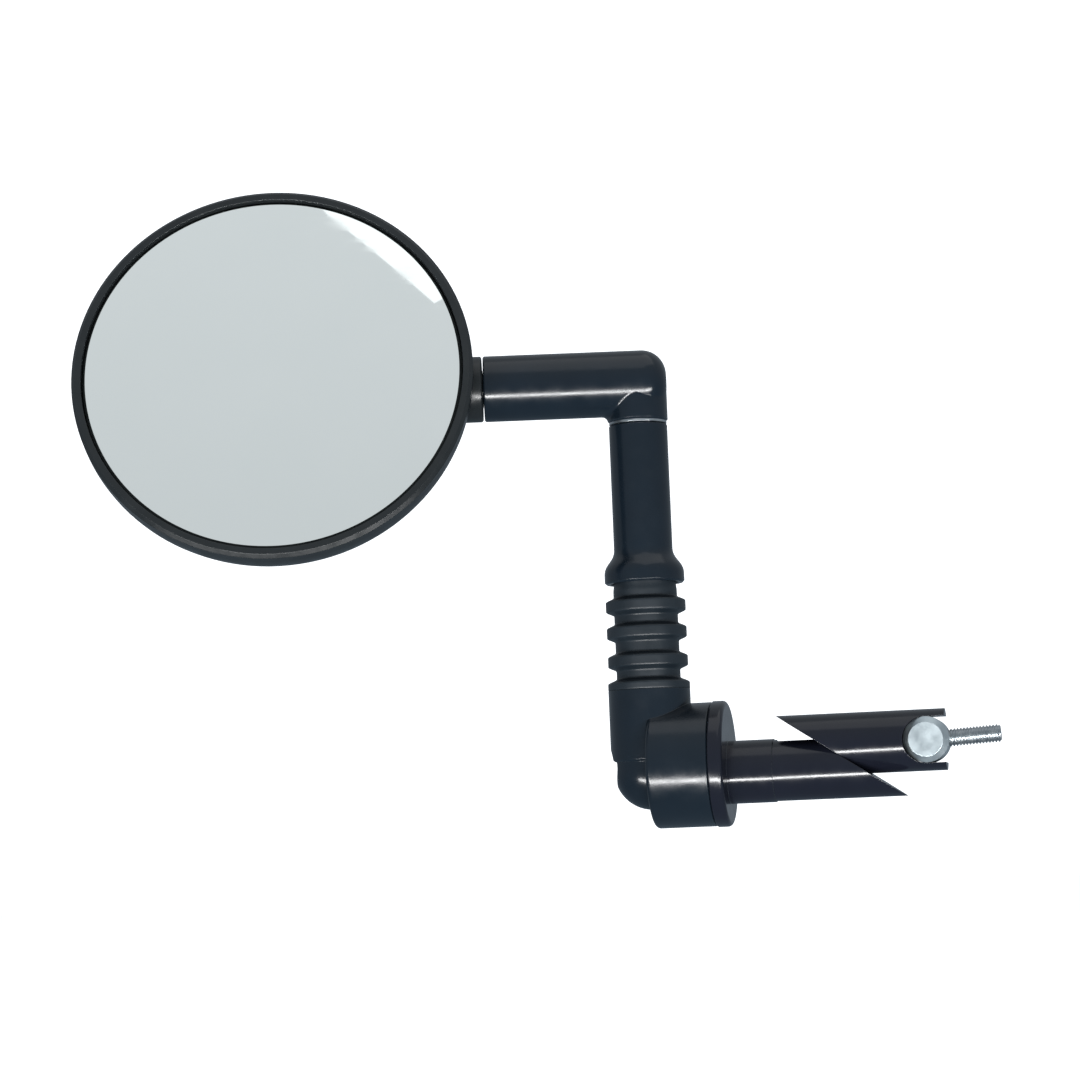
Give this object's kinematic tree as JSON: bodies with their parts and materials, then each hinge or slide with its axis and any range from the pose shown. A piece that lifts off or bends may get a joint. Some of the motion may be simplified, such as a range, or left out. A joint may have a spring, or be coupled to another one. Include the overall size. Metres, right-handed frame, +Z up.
{
  "type": "bicycle mirror",
  "caption": "Round convex bar-end mirror on a swivelling elbow arm with a ribbed rubber boot and an expanding wedge plug.",
  "frame": {"origin": "on the plug axis, at the flange face that meets the end of the handlebar", "axes": "+X into the handlebar, +Z up along the stem, -Y towards the rider, the side the mirror faces"},
  "size_m": [0.1975, 0.0575, 0.1463],
  "materials": {
    "housing_black": "satin moulded black",
    "arm_black": "gloss moulded blue-black",
    "plug_black": "gloss moulded black",
    "boot_rubber": "satin moulded rubber",
    "mirror_silver": "silvered convex glass",
    "zinc_steel": "zinc-plated steel",
    "nut_alloy": "matt turned aluminium",
    "bush_acetal": "black acetal",
    "friction_fibre": "pressed fibre",
    "tape_foam": "foam tape"
  },
  "bodies": {
    "plug": {"plug_wedge": "plug_black"},
    "knuckle": {"base_knuckle": "arm_black", "friction_ring": "friction_fibre", "fork_grub": "zinc_steel", "flex_fork": "arm_black", "flex_washer_near": "friction_fibre", "flex_washer_far": "friction_fibre", "flex_screw": "zinc_steel", "flex_nut": "zinc_steel", "rubber_boot": "boot_rubber"},
    "stem": {"stem_tube": "arm_black", "flex_tongue": "arm_black", "elbow_bush": "bush_acetal", "seam_shim": "zinc_steel"},
    "arm": {"upper_arm": "arm_black", "elbow_post": "arm_black", "elbow_washer": "zinc_steel", "elbow_spring": "zinc_steel", "elbow_screw": "zinc_steel", "head_post": "arm_black", "head_washer": "zinc_steel", "head_spring": "zinc_steel", "head_screw": "zinc_steel"},
    "head": {"mirror_housing": "housing_black", "mirror_glass": "mirror_silver", "glass_tape": "tape_foam", "head_bush": "bush_acetal"},
    "expander": {"expander_wedge": "plug_black"},
    "nut": {"barrel_nut": "nut_alloy"},
    "washer": {"ball_washer": "zinc_steel"},
    "screw": {"clamp_screw": "zinc_steel"}
  },
  "joints": [
    {"name": "base_swivel", "type": "hinge", "parent": "plug", "child": "knuckle", "pos_m": [-0.0032, 0, 0.002], "axis": [1, 0, 0], "continuous": true},
    {"name": "flex_tilt", "type": "hinge", "parent": "knuckle", "child": "stem", "pos_m": [-0.0173, 0, 0.0318], "axis": [0, 1, 0], "range_deg": [-20, 20], "deforming": ["rubber_boot"]},
    {"name": "arm_swivel", "type": "hinge", "parent": "stem", "child": "arm", "pos_m": [-0.0173, 0, 0.0789], "axis": [0, 0, 1], "continuous": true},
    {"name": "head_tilt", "type": "hinge", "parent": "arm", "child": "head", "pos_m": [-0.05107, -0.00656, 0.088], "axis": [-0.9816, -0.1908, 0], "continuous": true},
    {"name": "wedge_slide", "type": "slide", "parent": "plug", "child": "expander", "axis": [-0.8339, 0, 0.5519], "range_m": [-0.00942, 0.0006]},
    {"name": "nut_tilt", "type": "hinge", "parent": "expander", "child": "nut", "pos_m": [0.0435, 0, 0.0052], "axis": [0, -1, 0], "range_deg": [-4.6, 0.29]},
    {"name": "washer_travel", "type": "slide", "parent": "nut", "child": "washer", "axis": [0.9987, 0, 0.0507], "range_m": [-0.00777, 0.0005]},
    {"name": "screw_spin", "type": "hinge", "parent": "washer", "child": "screw", "pos_m": [-0.0195, 0, 0.002], "axis": [0.9987, 0, 0.0507], "range_deg": [-3998.4, 255.6]}
  ],
  "couplings": [
    {"joint": "screw_spin", "follows": "wedge_slide", "rad_per_m": 7405.2},
    {"joint": "nut_tilt", "follows": "wedge_slide", "rad_per_m": 8.5172},
    {"joint": "washer_travel", "follows": "wedge_slide", "ratio": 0.825}
  ]
}
